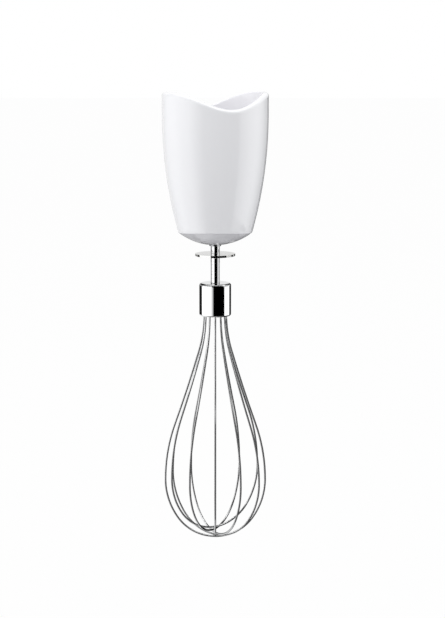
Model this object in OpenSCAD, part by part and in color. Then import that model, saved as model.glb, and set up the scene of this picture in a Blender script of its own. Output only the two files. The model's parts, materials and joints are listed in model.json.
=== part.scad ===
// Whisk attachment for an immersion blender: a planetary reduction gearbox in a
// cup that plugs onto the motor handle, with a balloon whisk that pushes in below.
// Millimetres. The origin is on the axis, at the seat that the handle's nose rests
// on. +Z points out of the cup's mouth, and the whisk hangs towards -Z.

/* [Cup] */
// Outer radius of the cup at its mouth
top_r = 30; // [29.5:0.1:31]
// Outer radius of the cup where the bottom cap begins
foot_r = 21.05; // [20.5:0.05:22]
// Depth from the handle seat down to the bottom cap
cup_depth = 53.6; // [52:0.1:60]
// Height over the seat at which the cup's side begins to curve inwards
flare_top = 12; // [8:0.5:15]
// Height of the rim's two low points over the seat
rim_low = 16.1; // [15:0.1:19]
// Height by which the rim's two high points stand over its low ones
rim_rise = 9.4; // [2:0.1:12]
// Levelling of the rim towards its high points: 0 is a plain scoop, 1 ends level
rim_level = 0.84; // [0:0.02:1]
// Turn of the rim's high points about the axis, from +X
rim_turn = 19.1; // [0:0.1:90]
// Wall of the cup's lower part
wall = 2.4; // [1.8:0.1:2.8]
// Wall of the cup round the socket that the handle plugs into
socket_wall = 3.2; // [2.8:0.1:3.6]
// Width of the ledge that the handle's nose rests on
seat_w = 1.2; // [0.8:0.1:1.4]
// Depth from the seat to the top of the gear cover
well_depth = 11; // [10:0.1:13]
// Height of the latch pockets' lower edge over the seat
latch_z = 7; // [5:0.5:9]
// Width of a latch pocket
latch_w = 9; // [6:0.5:12]
// Height of a latch pocket
latch_h = 4; // [3:0.5:5]
// Depth of a latch pocket in the wall
latch_d = 1.6; // [1:0.1:2]

/* [Bottom cap] */
// Depth of the cap's dome
dome_h = 7.5; // [6.5:0.1:9]
// Wall of the cap
cap_wall = 2; // [1.6:0.1:2.2]
// Height of the spigot that the cap pushes into the cup with
spigot_h = 4; // [3.5:0.1:5]
// Wall of the spigot
spigot_wall = 2.2; // [2:0.1:2.6]
// Section radius of the seal ring on the spigot
cap_seal_r = 0.6; // [0.5:0.05:0.7]
// Thickness of the lip seal round the output hub
lip_seal_t = 1.5; // [1.2:0.1:1.8]

/* [Gear case] */
// Thickness of the gear cover
cover_t = 3; // [2.6:0.1:3.4]
// Thickness of the gasket under the cover
gasket_t = 0.5; // [0.4:0.05:0.8]
// Thickness of the gear case's flange
flange_t = 3; // [2.4:0.1:3.6]
// Thickness of the shelf in the cup that carries the flange
shelf_t = 2; // [1.6:0.1:3]
// Wall of the gear case
tub_wall = 1.5; // [1.3:0.1:1.6]
// Thickness of the gear case's floor
floor_t = 2; // [1.6:0.1:2.6]
// Wall of the neck that holds the output bushes
neck_wall = 2; // [1.6:0.1:2.4]
// Distance from the flange's edge in to the middle of the cover screws
screw_edge = 3.525; // [3.2:0.005:4.5]
// Radius of the bosses that the cover screws bite into
boss_r = 2.3; // [2.1:0.1:2.4]
// Depth of those bosses below the shelf
boss_depth = 9; // [8:0.5:12]
// Radius of a cover screw's thread
screw_r = 1; // [0.8:0.05:1.1]
// Radius of a cover screw's head
screw_head_r = 1.9; // [1.7:0.05:2.1]
// Height of a cover screw's head
screw_head_h = 1.5; // [1.2:0.1:1.8]
// Length of a cover screw under its head
screw_len = 12; // [10:0.5:14]
// Height of the ribs on top of the cover
rib_h = 0.8; // [0.4:0.1:1.2]
// Width of those ribs
rib_w = 1.2; // [0.8:0.1:1.6]

/* [Gears] */
// Teeth of the sun gear
sun_teeth = 12; // [12:3:15]
// Teeth of a planet gear
planet_teeth = 24; // [18:3:24]
// Face width of the sun and planet gears
gear_w = 7; // [5:0.5:9]
// Pressure angle of the teeth
pressure_angle = 25; // [22:0.5:26]
// Thinning of each tooth flank, for backlash
flank_slack = 0.04; // [0.02:0.01:0.06]
// Wall of the ring gear behind its teeth
ring_wall = 1.9; // [1.7:0.1:2]
// Height of the ring gear's keys over its outside
key_h = 0.8; // [0.5:0.1:0.9]
// Width of those keys
key_w = 3; // [2:0.5:5]

/* [Planet carrier] */
// Thickness of the carrier's disc
disc_t = 3; // [2.5:0.1:4]
// Thickness of the carrier's upper plate
plate_t = 2; // [1.6:0.1:2.6]
// Radius of the planet pins
pin_r = 1.5; // [1.3:0.05:1.8]
// Radius of the posts between disc and plate
post_r = 1.7; // [1.4:0.1:1.8]
// Radius of the rivet end of each post
rivet_r = 1.1; // [0.8:0.1:1.2]
// Thickness of the thrust washer under the carrier
washer_t = 0.4; // [0.3:0.05:0.6]
// Outer radius of the thrust washer
washer_r = 11; // [9:0.5:13]

/* [Input shaft] */
// Radius of the input spindle through the sun gear
spindle_r = 1.5; // [1.3:0.05:1.6]
// Radius of the input spindle in its bush
journal_r = 2.5; // [2.3:0.1:3]
// Wall of the input bush
input_bush_wall = 2; // [1.6:0.1:2.4]
// Height of the collar that the cover holds the bush with
collar_h = 1.5; // [1:0.1:1.8]
// Radius of the drive dog
dog_r = 6.5; // [5.5:0.1:8]
// Clear height between the dog's top and the handle seat
dog_drop = 1; // [0.6:0.1:1.5]
// Mean radius of the star socket in the dog
star_r = 3.7; // [3.4:0.1:4.2]
// Height of the star's lobes over its mean radius
star_lobe = 0.6; // [0.3:0.1:0.8]
// Depth of the star socket
star_depth = 4; // [3:0.1:4.5]
// Thickness of the clip under the input bush
clip_t = 0.6; // [0.5:0.05:0.7]

/* [Output hub] */
// Outer radius of the output hub
hub_r = 5.5; // [5.2:0.1:6]
// Wall round the shaft at the hub's nose, which comes out of the cap
nose_wall = 0.8; // [0.6:0.1:1.6]
// Length of nose that shows under the cap
hub_lip = 0.4; // [0.2:0.1:1]
// Depth of the spindle's pilot bore in the hub
pilot_depth = 3; // [2.5:0.1:4]
// Web of steel between the pilot bore and the hexagon socket
hub_web = 2.5; // [1.5:0.1:4]
// Wall of the output bushes
bush_wall = 2; // [1.6:0.1:2.4]
// Length of an output bush
bush_len = 7; // [5:0.5:9]
// Thickness of the circlip that holds the hub in its neck
circlip_t = 0.7; // [0.6:0.05:0.9]
// Width of that circlip
circlip_w = 2; // [1.6:0.1:2.1]

/* [Whisk shaft] */
// Radius of the whisk shaft
shaft_r = 2.6; // [2.5:0.05:3]
// Size of its hexagon end across the flats
hex_af = 4.4; // [4:0.1:4.4]
// Length of the hexagon end
hex_len = 8; // [6:0.5:10]
// Distance from the hexagon down to the detent groove
groove_drop = 7; // [5:0.5:10]
// Width of the detent groove
groove_w = 1.2; // [1:0.1:1.6]
// Depth of the detent groove
groove_d = 0.35; // [0.2:0.05:0.5]

/* [Whisk] */
// Distance from the cap's dome down to the splash disc
disc_drop = 5.4; // [3:0.1:8]
// Radius of the splash disc
splash_r = 11.4; // [9:0.1:14]
// Thickness of the splash disc
splash_t = 1.2; // [0.6:0.1:2]
// Distance from the splash disc down to the ferrule
ferrule_drop = 15.7; // [12:0.1:22]
// Radius of the ferrule
ferrule_r = 9.1; // [8.8:0.1:10]
// Length of the ferrule
ferrule_len = 18.7; // [15:0.1:22]
// Wall of the ferrule
ferrule_wall = 0.8; // [0.6:0.1:1]
// Rounding of the ferrule's top edge
ferrule_round = 1.1; // [1:0.1:2.2]
// Chamfer of the ferrule's bottom edge
ferrule_chamfer = 0.5; // [0.3:0.1:0.7]
// Diameter of the whisk wire
wire_d = 1.15; // [1:0.05:1.3]
// Radius of the ring of wires in the ferrule
leg_r = 6.3; // [5.8:0.05:6.8]
// Length of each wire's leg inside the ferrule
leg_len = 12; // [8:0.5:13]
// Greatest radius of the wire loops, to the wire's centre
whisk_r = 29.1; // [28:0.1:32]
// Drop of the outermost loop from its widest point to its bottom
belly_drop = 34.7; // [33:0.1:42]
// Climb of the next loop inwards over the one before, between wire faces
stack_gap = 0.03; // [0.02:0.01:0.3]

/* [Fits] */
// Radial clearance of a shaft that turns in its bush
run_fit = 0.05; // [0.03:0.01:0.08]
// Radial clearance of a piece pushed into its seat
push_fit = 0.02; // [0.01:0.01:0.04]
// Gap between pieces that must not touch
gap = 0.3; // [0.25:0.05:0.4]

/* [Hidden] */
$fn = 96;
cut = 1;                 // how far a cut runs past the face it opens
lap = 0.1;               // how far two shapes of one piece run into each other
ease = 0.2;              // clear step between pieces and cuts that stay apart
film = 0.05;             // end play of pieces that lie against each other

// The cup's curved side is one arc that starts upright and leans in to the foot.
flare_len = flare_top + cup_depth;
flare_in = top_r - foot_r;
flare_R = (pow(flare_len, 2) + pow(flare_in, 2)) / (2 * flare_in);
rim_top = rim_low + rim_rise;
socket_r = top_r - socket_wall;
bay_r = socket_r - seat_w;

// Levels, from the seat down.
cover_z = -well_depth;
cover_low = cover_z - cover_t;
flange_z = cover_low - gasket_t;
shelf_z = flange_z - flange_t;
play = 0.5;              // end play over, between and under the gears
plate_z = cover_low - play;
gears_z = plate_z - plate_t - play;
gears_low = gears_z - gear_w;
disc_z = gears_low - play;
disc_low = disc_z - disc_t;
floor_z = disc_low - washer_t - 2 * film;
floor_low = floor_z - floor_t;
foot_z = -cup_depth;
dome_low = foot_z - dome_h;
pocket_z = dome_low + cap_wall + ease;
neck_low = pocket_z + lip_seal_t + ease;
hub_low = dome_low - hub_lip;
nose_r = shaft_r + nose_wall;

// The land at the cup's foot that the cap's spigot pushes into.
foot_ir = top_r - flare_R + sqrt(pow(flare_R - wall, 2) - pow(flare_len, 2));
land_z = foot_z + spigot_h + 2 * gap;
spigot_r = foot_ir - push_fit;
seal_z = foot_z + 0.6 * spigot_h;

// Gear case: the screws stand in from the flange's edge, and the tub fills what is left.
flange_r = bay_r - gap;
screws = 3;
screw_turn = 180 / screws;
screw_at = flange_r - screw_edge;
ribs = 2 * screws;
tub_r = screw_at - lap - boss_r - gap;
tub_ir = tub_r - tub_wall;
ring_r = tub_ir - run_fit;

// Gears: the module is what the ring gear's wall leaves, and the carrier turns once
// for 1 + ring_teeth / sun_teeth turns of the sun.
planets = 3;
ring_teeth = sun_teeth + 2 * planet_teeth;
gear_m = (ring_r - ring_wall) / (ring_teeth / 2 + 1.25);
centre_r = gear_m * (sun_teeth + planet_teeth) / 2;
tip_add = 0.95 * gear_m;
root_ded = 1.25 * gear_m;
sun_tip_r = gear_m * sun_teeth / 2 + tip_add;
planet_tip_r = gear_m * planet_teeth / 2 + tip_add;
ring_tip_r = gear_m * ring_teeth / 2 - tip_add;
planet_odd = planet_teeth % 2 == 1;
planet_phase = planet_odd ? 0 : 180 / planet_teeth;
ring_phase = planet_odd ? 180 / ring_teeth : 0;
carrier_r = ring_tip_r - gap;
post_at = carrier_r - post_r - lap;
plate_bore_r = sun_tip_r + 2 * gap + lap;
ring_low = floor_z + 2 * film;
ring_high = cover_low - ease;
keys = 3;
key_turn = 90 / keys;

// Input bush, drive dog and the neck round the output bushes.
journal_bush_r = journal_r + run_fit + input_bush_wall;
collar_wall = 2;
collar_r = journal_bush_r + collar_wall;
collar_z = cover_z + collar_h;
bush_flange_t = 0.6;
bush_flange_w = 1.4;
dog_low = collar_z + bush_flange_t + gap;
dog_z = -dog_drop;
dog_floor = dog_z - star_depth;
dog_web = 0.8;           // floor of the star socket
dog_edge = 0.8;          // chamfer round the dog's top
spindle_hex = 2 * journal_r * cos(30);
spindle_clip_r = sun_tip_r + 2 * ease;
neck_ir = hub_r + run_fit + bush_wall + push_fit;
neck_r = neck_ir + neck_wall;
neck_step = 1;           // shoulder in the neck that stops each bush
upper_bush_z = floor_z - gap;
lower_bush_z = neck_low + circlip_t + 2 * gap;

// Output hub, its spigot in the carrier and the whisk shaft in its bore.
circlip_groove = 0.5;    // depth of the circlip's groove
circlip_slot = 3;        // its open end
clip_groove = 0.4;       // depth of the spindle clip's groove
clip_slot = 2.4;
detent_w = 1;            // room for the clip round the shaft, and its open end
detent_slot = 1.6;
spigot_af = 1.6 * (hub_r - circlip_groove);
hub_top = disc_low + disc_t - gap;
pilot_low = hub_top - pilot_depth;
socket_top = pilot_low - hub_web;
shaft_top = socket_top - gap;
hex_low = shaft_top - hex_len;
groove_z = hex_low - groove_drop;
circlip_z = lower_bush_z - ease;

// Whisk, from the dome down.
splash_z = dome_low - disc_drop;
disc_collar_w = 1;       // collar under the splash disc
disc_collar_h = 1.2;
ferrule_z = splash_z - splash_t / 2 - ferrule_drop;
ferrule_low = ferrule_z - ferrule_len;
core_z = ferrule_z - ferrule_wall - film;
core_in = 0.7;           // how far the core stands back in the ferrule
core_low = ferrule_low + core_in;
shaft_low = core_low + 5 * core_in;
bend_z = core_low - ease;
leg_top = bend_z + leg_len;

// A loop leans out in two arcs, comes upright in a third at its widest point, and
// closes under the axis in two more. Each loop inwards leans out a little more than
// the one before, and is a little less wide.
loops = 6;
lean = 19.5;
lean_start = 16.2;
lean_gain = 0.3;
lean_R = 74;
belly_R = 100;
width_loss = 0.06;
side_turn = 34.9;
stack_step = wire_d + stack_gap;
wire_step = 6;           // greatest turn between the wire's rings

// Each arc is [radius, turn]. The second arc's radius takes the loop out to its width.
function loop_r(index) = whisk_r - width_loss * (index - 1);
function upper_arcs(index) = let (
        first = lean_start + lean_gain * (index - 1), full = lean + lean_gain * (index - 1),
        out = loop_r(index) - leg_r - lean_R * (1 - cos(first)) - belly_R * (1 - cos(full)))
    [[lean_R, first], [out / (cos(first) - cos(full)), full - first], [belly_R, -full]];
function lower_arcs(r, drop) = let (
        side_R = (drop * cos(side_turn) - r * (1 - sin(side_turn)))
            / (sin(side_turn) * cos(side_turn) - (1 - cos(side_turn)) * (1 - sin(side_turn))))
    [[side_R, -side_turn], [(r - side_R * (1 - cos(side_turn))) / cos(side_turn), side_turn - 90]];

// ---- shared shapes ----

module rod(r, low, high) {
    translate([0, 0, low]) cylinder(r = r, h = high - low);
}

module tube(r_out, r_in, low, high) {
    difference() {
        rod(r_out, low, high);
        rod(r_in, low - cut, high + cut);
    }
}

module hex_rod(af, low, high) {
    translate([0, 0, low]) cylinder(d = af / cos(30), h = high - low, $fn = 6);
}

module around(count, start = 0) {
    for (i = [0 : count - 1]) rotate(start + i * 360 / count) children();
}

// The cup's outline as a solid, drawn in by inset.
module cup_body(inset, low, high) {
    rotate_extrude() intersection() {
        translate([0, low]) square([top_r - inset, high - low]);
        union() {
            translate([0, flare_top]) square([top_r, rim_top]);
            translate([top_r - flare_R, flare_top]) circle(r = flare_R - inset, $fn = 720);
        }
    }
}

// The rim's height at a share c of the way out from its low line to its high points.
function rim_z(c) = rim_low + rim_rise * ((1 + rim_level) * pow(c, 2) - rim_level * pow(c, 4));

// Everything above the saddle-shaped rim.
module above_rim() {
    steps = 20;
    rotate([0, 0, rim_turn]) rotate([90, 0, 0])
        linear_extrude(height = 3 * top_r, center = true)
            polygon(concat(
                [for (i = [-steps : steps]) [top_r * i / steps, rim_z(i / steps)]],
                [[top_r + cut, rim_top], [top_r + cut, rim_top + 2 * cut],
                    [-top_r - cut, rim_top + 2 * cut], [-top_r - cut, rim_top]]));
}

// ---- involute gears ----

function involute(r, base) = let (t = sqrt(max(pow(r / base, 2) - 1, 0)))
    t * 180 / PI - atan(t);
function half_tooth(r, pitch_r, base, at_pitch) =
    at_pitch + involute(pitch_r, base) - involute(max(r, base), base);

// One gear outline. widen is added to each flank at the pitch circle.
module gear_outline(teeth, tip, root, widen, steps) {
    pitch_r = gear_m * teeth / 2;
    base = pitch_r * cos(pressure_angle);
    at_pitch = 90 / teeth + widen / pitch_r * 180 / PI;
    start = max(base, root);
    flank = concat(root < base ? [root] : [],
        [for (j = [0 : steps]) start + (tip - start) * j / steps]);
    last = len(flank) - 1;
    polygon([for (k = [0 : teeth - 1], side = [-1, 1], j = [0 : last])
        let (r = side < 0 ? flank[j] : flank[last - j],
            a = k * 360 / teeth + side * half_tooth(r, pitch_r, base, at_pitch))
        r * [cos(a), sin(a)]]);
}

// ---- housing ----

module outer_shell() color([0.93, 0.93, 0.95]) difference() {
    union() {
        difference() {
            cup_body(0, foot_z, rim_top + cut);
            cup_body(wall, land_z, shelf_z - shelf_t);
        }
        intersection() {
            cup_body(wall / 2, shelf_z - shelf_t - boss_depth, shelf_z - shelf_t);
            around(screws, screw_turn) {
                translate([screw_at, 0, 0])
                    rod(boss_r, shelf_z - shelf_t - boss_depth, shelf_z);
                translate([screw_at, -boss_r / 2, shelf_z - shelf_t - boss_depth])
                    cube([top_r - screw_at, boss_r, boss_depth + cut]);
            }
        }
    }
    above_rim();
    rod(foot_ir, foot_z - cut, land_z + cut);
    rod(socket_r, 0, rim_top + cut);
    rod(bay_r, shelf_z, cut);
    rod(tub_r + gap, shelf_z - shelf_t - cut, shelf_z + cut);
    around(2, rim_turn)
        translate([socket_r - cut, -latch_w / 2, latch_z]) cube([latch_d + cut, latch_w, latch_h]);
    around(screws, screw_turn) translate([screw_at, 0, 0])
        rod(screw_r + push_fit, cover_z - screw_head_h - screw_len - play, shelf_z + cut);
}

// The dome is a cap of a sphere that meets the cup's foot.
module dome(inset) {
    ball_r = (pow(foot_r, 2) + pow(dome_h, 2)) / (2 * dome_h);
    intersection() {
        translate([0, 0, dome_low + ball_r]) sphere(r = ball_r - inset, $fn = 180);
        rod(foot_r + cut, dome_low - cut, foot_z);
    }
}

module bottom_cap() color([0.78, 0.78, 0.82]) difference() {
    union() {
        dome(0);
        rod(spigot_r, foot_z, foot_z + spigot_h);
    }
    difference() {
        intersection() {
            union() {
                dome(cap_wall);
                rod(foot_r, foot_z - cap_wall / 4, foot_z + spigot_h + cut);
            }
            rod(spigot_r - spigot_wall, dome_low, foot_z + spigot_h + cut);
        }
        rod(neck_r + run_fit + neck_wall, dome_low, neck_low + cap_wall + cut);
    }
    rod(neck_r + run_fit, neck_low - lap, foot_z + spigot_h + cut);
    rod(neck_ir, pocket_z, neck_low);
    rod(nose_r + gap, dome_low - cut, pocket_z + cut);
    rotate_extrude() translate([spigot_r, seal_z]) circle(r = cap_seal_r + push_fit, $fn = 32);
}

module cap_seal() color([0.2, 0.2, 0.22]) intersection() {
    rotate_extrude() translate([spigot_r, seal_z]) circle(r = cap_seal_r, $fn = 32);
    rod(spigot_r + push_fit / 2, seal_z - wall, seal_z + wall);
}

module output_seal() color([0.2, 0.2, 0.22])
    tube(neck_ir - push_fit, hub_r + run_fit, pocket_z + push_fit, pocket_z + lip_seal_t);

module gear_case() color([0.86, 0.86, 0.84]) difference() {
    union() {
        rod(flange_r, shelf_z, flange_z);
        rod(tub_r, floor_low, flange_z);
        rod(neck_r, neck_low, floor_low + cut);
    }
    rod(tub_ir, floor_z, flange_z + cut);
    around(keys, key_turn) translate([0, -key_w / 2 - push_fit, floor_z])
        cube([ring_r + key_h + push_fit, key_w + 2 * push_fit, flange_z - floor_z + cut]);
    rod(neck_ir, upper_bush_z - bush_len, floor_z + cut);
    rod(neck_ir - neck_step, neck_low, upper_bush_z);
    rod(neck_ir, neck_low - cut, lower_bush_z + bush_len);
    around(screws, screw_turn) translate([screw_at, 0, 0])
        rod(screw_r + gap, shelf_z - cut, flange_z + cut);
}

module cover_gasket() color([0.25, 0.25, 0.28]) difference() {
    tube(flange_r, tub_ir + key_h + gap, flange_z, cover_low);
    around(screws, screw_turn) translate([screw_at, 0, 0])
        rod(screw_r + gap, flange_z - cut, cover_low + cut);
}

module gear_cover() color([0.88, 0.88, 0.9]) difference() {
    union() {
        rod(flange_r, cover_low, cover_z);
        rod(collar_r, cover_low, collar_z);
        around(ribs, 180 / ribs) translate([collar_r - cut, -rib_w / 2, cover_z - cut])
            cube([tub_r - collar_r + cut, rib_w, rib_h + cut]);
    }
    rod(journal_bush_r + push_fit, cover_low - cut, collar_z + cut);
    around(screws, screw_turn) translate([screw_at, 0, 0]) {
        rod(screw_r + gap, cover_low - cut, cover_z + cut);
        rod(screw_head_r + gap, cover_z - screw_head_h, cover_z + cut);
    }
}

module cover_screws() color([0.7, 0.7, 0.72])
    around(screws, screw_turn) translate([screw_at, 0, 0]) difference() {
        union() {
            rod(screw_head_r, cover_z - screw_head_h, cover_z);
            rod(screw_r, cover_z - screw_head_h - screw_len, cover_z - screw_head_h + lap);
        }
        hex_rod(screw_head_r, cover_z - screw_head_h / 2, cover_z + cut);
    }

module ring_gear() color([0.82, 0.8, 0.72]) translate([0, 0, ring_low])
    linear_extrude(height = ring_high - ring_low) difference() {
        union() {
            circle(r = ring_r);
            intersection() {
                circle(r = ring_r + key_h);
                around(keys, key_turn) translate([0, -key_w / 2]) square([2 * ring_r, key_w]);
            }
        }
        rotate(180 / ring_teeth + ring_phase)
            gear_outline(ring_teeth, ring_tip_r + tip_add + root_ded, ring_tip_r, flank_slack, 3);
    }

module input_bush() color([0.75, 0.6, 0.35]) difference() {
    union() {
        rod(journal_bush_r, cover_low, collar_z);
        rod(journal_bush_r + bush_flange_w, collar_z, collar_z + bush_flange_t);
    }
    rod(journal_r + run_fit, cover_low - cut, collar_z + cut);
}

module output_bush(high) color([0.75, 0.6, 0.35])
    tube(neck_ir - push_fit, hub_r + run_fit, high - bush_len, high);

// ---- input shaft ----

module star_2d(grow = 0) {
    polygon([for (a = [0 : 5 : 355])
        (star_r + grow + star_lobe * cos(6 * a)) * [cos(a), sin(a)]]);
}

module drive_dog() color([0.25, 0.26, 0.3]) difference() {
    union() {
        rod(dog_r, dog_low, dog_z - dog_edge);
        translate([0, 0, dog_z - dog_edge]) cylinder(r1 = dog_r, r2 = dog_r - dog_edge, h = dog_edge);
    }
    translate([0, 0, dog_floor]) linear_extrude(height = star_depth + cut) star_2d();
    hex_rod(spindle_hex + 2 * push_fit, dog_low - cut, dog_floor - dog_web);
}

module input_spindle() color([0.72, 0.73, 0.75]) difference() {
    union() {
        rod(spindle_r, pilot_low + gap, gears_z + ease);
        rod(journal_r, gears_z + ease, dog_low);
        hex_rod(spindle_hex, dog_low - lap, dog_floor - dog_web - push_fit);
    }
    tube(journal_r + cut, journal_r - clip_groove, cover_low - gap - clip_t, cover_low - gap + push_fit);
}

module spindle_clip() color([0.6, 0.61, 0.63]) difference() {
    tube(spindle_clip_r, journal_r - clip_groove + push_fit, cover_low - gap - clip_t + push_fit,
        cover_low - gap);
    translate([0, -clip_slot / 2, cover_low - gap - clip_t - cut])
        cube([spindle_clip_r, clip_slot, clip_t + 2 * cut]);
}

module sun_gear() color([0.72, 0.73, 0.75]) translate([0, 0, gears_low])
    linear_extrude(height = gear_w) difference() {
        gear_outline(sun_teeth, sun_tip_r, gear_m * sun_teeth / 2 - root_ded, -flank_slack, 4);
        circle(r = spindle_r + push_fit, $fn = 48);
    }

// ---- planets and carrier ----

module planet_gear(index) color([0.9, 0.88, 0.8])
    rotate((index - 1) * 360 / planets) translate([centre_r, 0, gears_low])
        linear_extrude(height = gear_w) difference() {
            rotate(planet_phase)
                gear_outline(planet_teeth, planet_tip_r,
                    gear_m * planet_teeth / 2 - root_ded, -flank_slack, 4);
            circle(r = pin_r + run_fit, $fn = 64);
        }

module planet_pins() color([0.72, 0.73, 0.75])
    around(planets) translate([centre_r, 0, 0]) rod(pin_r, disc_low + ease, plate_z - ease);

module planet_carrier() color([0.55, 0.57, 0.6]) difference() {
    union() {
        rod(carrier_r, disc_low, disc_z);
        around(planets, 180 / planets) translate([post_at, 0, 0]) {
            rod(post_r, disc_low, plate_z - plate_t);
            rod(rivet_r, disc_low, plate_z);
        }
    }
    around(planets) translate([centre_r, 0, 0]) rod(pin_r + push_fit, disc_low - cut, disc_z + cut);
    hex_rod(spigot_af + 2 * push_fit, disc_low - cut, disc_z + cut);
}

module carrier_plate() color([0.6, 0.62, 0.65]) difference() {
    rod(carrier_r, plate_z - plate_t, plate_z);
    rod(plate_bore_r, plate_z - plate_t - cut, plate_z + cut);
    around(planets) translate([centre_r, 0, 0])
        rod(pin_r + push_fit, plate_z - plate_t - cut, plate_z + cut);
    around(planets, 180 / planets) translate([post_at, 0, 0])
        rod(rivet_r + push_fit, plate_z - plate_t - cut, plate_z + cut);
}

module output_hub() color([0.78, 0.79, 0.81]) difference() {
    union() {
        hex_rod(spigot_af, disc_low - lap, hub_top);
        rod(hub_r, pocket_z + ease, disc_low);
        rod(nose_r, hub_low, pocket_z + ease + lap);
    }
    rod(spindle_r + run_fit, pilot_low, hub_top + cut);
    hex_rod(hex_af + 2 * run_fit, hex_low - cut, socket_top);
    rod(shaft_r + run_fit, hub_low - cut, hex_low + gap);
    rod(shaft_r + detent_w, groove_z - groove_w / 2, groove_z + groove_w / 2);
    tube(hub_r + cut, hub_r - circlip_groove, circlip_z - circlip_t - push_fit, circlip_z + push_fit);
}

module shaft_clip() color([0.85, 0.85, 0.86]) difference() {
    tube(shaft_r + detent_w - lap, shaft_r + run_fit,
        groove_z - groove_w / 2 + lap, groove_z + groove_w / 2 - lap);
    translate([0, -detent_slot / 2, groove_z - groove_w])
        cube([2 * shaft_r, detent_slot, 2 * groove_w]);
}

module hub_circlip() color([0.6, 0.61, 0.63]) difference() {
    tube(hub_r - circlip_groove + push_fit + circlip_w, hub_r - circlip_groove + push_fit,
        circlip_z - circlip_t, circlip_z);
    translate([0, -circlip_slot / 2, circlip_z - circlip_t - cut])
        cube([2 * hub_r, circlip_slot, circlip_t + 2 * cut]);
}

module thrust_washer() color([0.8, 0.8, 0.78])
    tube(washer_r, hub_r + run_fit, floor_z + film, floor_z + film + washer_t);

// ---- whisk ----

module whisk_shaft() color([0.82, 0.83, 0.85]) difference() {
    union() {
        hex_rod(hex_af, hex_low - lap, shaft_top);
        rod(shaft_r, shaft_low, hex_low);
    }
    tube(shaft_r + cut, shaft_r - groove_d, groove_z - groove_w / 2, groove_z + groove_w / 2);
}

module splash_disc() color([0.86, 0.87, 0.86]) difference() {
    union() {
        rod(splash_r, splash_z - splash_t / 2, splash_z + splash_t / 2);
        rod(shaft_r + disc_collar_w, splash_z - splash_t / 2 - disc_collar_h, splash_z);
    }
    rod(shaft_r + push_fit, splash_z - splash_t / 2 - disc_collar_h - cut,
        splash_z + splash_t / 2 + cut);
}

module ferrule() color([0.84, 0.85, 0.86]) rotate_extrude() difference() {
    union() {
        translate([0, ferrule_z - ferrule_round]) square([ferrule_r - ferrule_round, ferrule_round]);
        translate([ferrule_r - ferrule_round, ferrule_z - ferrule_round]) circle(r = ferrule_round);
        polygon([[0, ferrule_low], [ferrule_r - ferrule_chamfer, ferrule_low],
            [ferrule_r, ferrule_low + ferrule_chamfer], [ferrule_r, ferrule_z - ferrule_round],
            [0, ferrule_z - ferrule_round]]);
    }
    translate([0, ferrule_low - cut])
        square([ferrule_r - ferrule_wall, ferrule_len - ferrule_round + cut]);
    translate([0, ferrule_low - cut])
        square([ferrule_r - ferrule_round, ferrule_len - ferrule_wall + cut]);
    translate([0, ferrule_z - ferrule_len / 2]) square([shaft_r + push_fit, ferrule_len]);
}

module ferrule_core() color([0.5, 0.52, 0.55]) difference() {
    union() {
        rod(ferrule_r - ferrule_wall - push_fit, core_low, ferrule_z - ferrule_round - film);
        rod(ferrule_r - ferrule_round - push_fit, core_low, core_z);
    }
    rod(shaft_r + push_fit, shaft_low - push_fit, core_z + cut);
    around(2 * loops) translate([leg_r, 0, 0])
        rod(wire_d / 2 + push_fit, core_low - cut, leg_top + gap);
}

// The points of an arc chain as [radius, height, heading], where heading is the
// path's lean from straight down. Each arc starts where the one before it ends.
function arc_path(arcs, at, heading) =
    let (R = arcs[0][0], turn = arcs[0][1], s = sign(turn),
        hub = at + s * R * [cos(heading), sin(heading)],
        steps = max(3, ceil(abs(turn) / wire_step)),
        points = [for (j = [1 : steps]) let (h = heading + turn * j / steps)
            [hub.x - s * R * cos(h), hub.y - s * R * sin(h), h]])
    len(arcs) == 1 ? points
        : concat(points, arc_path([for (i = [1 : len(arcs) - 1]) arcs[i]],
            [points[steps - 1].x, points[steps - 1].y], heading + turn));

// A wire swept along a path that stays in the XZ plane.
module wire(path) {
    sides = 8;
    last = len(path) - 1;
    points = [for (p = path, k = [0 : sides - 1]) let (a = k * 360 / sides)
        [p.x, 0, p.y] + wire_d / 2 * (cos(a) * [cos(p.z), 0, sin(p.z)] + sin(a) * [0, 1, 0])];
    skin = [for (i = [0 : last - 1], k = [0 : sides - 1]) let (n = (k + 1) % sides)
        [i * sides + k, i * sides + n, (i + 1) * sides + n, (i + 1) * sides + k]];
    ends = [[for (k = [sides - 1 : -1 : 0]) k], [for (k = [0 : sides - 1]) last * sides + k]];
    polyhedron(points, concat(skin, ends), convexity = 6);
}

function belly_z(index) = let (path = arc_path(upper_arcs(index), [leg_r, bend_z], 0))
    path[len(path) - 1].y;

module wire_loop(index) color([0.8, 0.81, 0.83]) {
    drop = belly_drop + belly_z(index) - belly_z(1) - stack_step * (index - 1);
    arcs = concat(upper_arcs(index), lower_arcs(loop_r(index), drop));
    half = concat([[leg_r, leg_top, 0], [leg_r, bend_z, 0]], arc_path(arcs, [leg_r, bend_z], 0));
    back = [for (i = [len(half) - 2 : -1 : 0]) [-half[i].x, half[i].y, -180 - half[i].z]];
    rotate(-180 / loops * (index - 1)) wire(concat(half, back));
}

outer_shell();
bottom_cap();
gear_case();
gear_cover();
cover_gasket();
cover_screws();
ring_gear();
input_bush();
output_bush(upper_bush_z);  // output_bush_upper
output_bush(lower_bush_z + bush_len);  // output_bush_lower
output_seal();
cap_seal();
drive_dog();
input_spindle();
sun_gear();
spindle_clip();
for (i = [1 : planets])
    planet_gear(i);
planet_carrier();
carrier_plate();
planet_pins();
output_hub();
shaft_clip();
hub_circlip();
thrust_washer();
whisk_shaft();
splash_disc();
ferrule();
ferrule_core();
for (i = [1 : loops])
    wire_loop(i);
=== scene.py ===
import json
import math

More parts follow.
